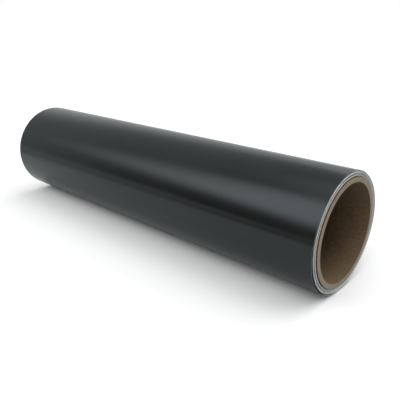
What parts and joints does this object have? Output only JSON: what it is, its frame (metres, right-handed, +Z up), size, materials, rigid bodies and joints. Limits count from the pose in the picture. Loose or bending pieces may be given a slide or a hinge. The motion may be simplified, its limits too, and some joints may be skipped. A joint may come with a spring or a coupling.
{
  "type": "roll of sign vinyl",
  "caption": "Roll of self-adhesive sign vinyl on a release liner, wound face out on a spiral paper core, with its loose tail end standing off the last turn.",
  "frame": {"origin": "centre of the core's bore at the middle of the roll's length", "axes": "+X along the bore axis to one end of the roll, +Z up with the roll on its side, +Y across; the web winds outwards from +Y towards +Z"},
  "size_m": [0.305, 0.0758, 0.0747],
  "materials": {
    "vinyl_film": "satin-gloss charcoal film",
    "liner_paper": "silicone-coated pale paper",
    "core_board": "spirally wound brown board",
    "tape": "double-sided paper tape"
  },
  "bodies": {
    "roll": {"core_ply_1": "core_board", "core_ply_2": "core_board", "core_ply_3": "core_board", "core_ply_4": "core_board", "core_ply_5": "core_board", "core_ply_6": "core_board", "core_ply_7": "core_board", "core_ply_8": "core_board", "starter_tape": "tape", "wound_liner": "liner_paper", "wound_film": "vinyl_film", "outer_turn_film": "vinyl_film"},
    "tail_1": {"tail_liner_1": "liner_paper", "tail_film_1": "vinyl_film"},
    "tail_2": {"tail_liner_2": "liner_paper", "tail_film_2": "vinyl_film"},
    "tail_3": {"tail_liner_3": "liner_paper", "tail_film_3": "vinyl_film"},
    "tail_end_liner": {"tail_liner_4": "liner_paper"},
    "tail_end_film": {"tail_film_4": "vinyl_film"}
  },
  "joints": [
    {"name": "tail_bend_1", "type": "hinge", "parent": "roll", "child": "tail_1", "pos_m": [0, -0.02681, -0.02681], "axis": [1, 0, 0], "range_deg": [-16, 0]},
    {"name": "tail_bend_2", "type": "hinge", "parent": "tail_1", "child": "tail_2", "pos_m": [0, -0.01825, -0.03292], "axis": [1, 0, 0], "range_deg": [-16, 0]},
    {"name": "tail_bend_3", "type": "hinge", "parent": "tail_2", "child": "tail_3", "pos_m": [0, -0.00842, -0.03648], "axis": [1, 0, 0], "range_deg": [-16, 0]},
    {"name": "tail_bend_4", "type": "hinge", "parent": "tail_3", "child": "tail_end_liner", "pos_m": [0, 0.00198, -0.0377], "axis": [1, 0, 0], "range_deg": [-16, 0]},
    {"name": "film_peel", "type": "hinge", "parent": "tail_end_liner", "child": "tail_end_film", "pos_m": [0, 0.00198, -0.0377], "axis": [1, 0, 0], "range_deg": [-60, 0]}
  ],
  "couplings": [
    {"joint": "tail_bend_2", "follows": "tail_bend_1", "ratio": 1},
    {"joint": "tail_bend_3", "follows": "tail_bend_1", "ratio": 1},
    {"joint": "tail_bend_4", "follows": "tail_bend_1", "ratio": 1}
  ]
}
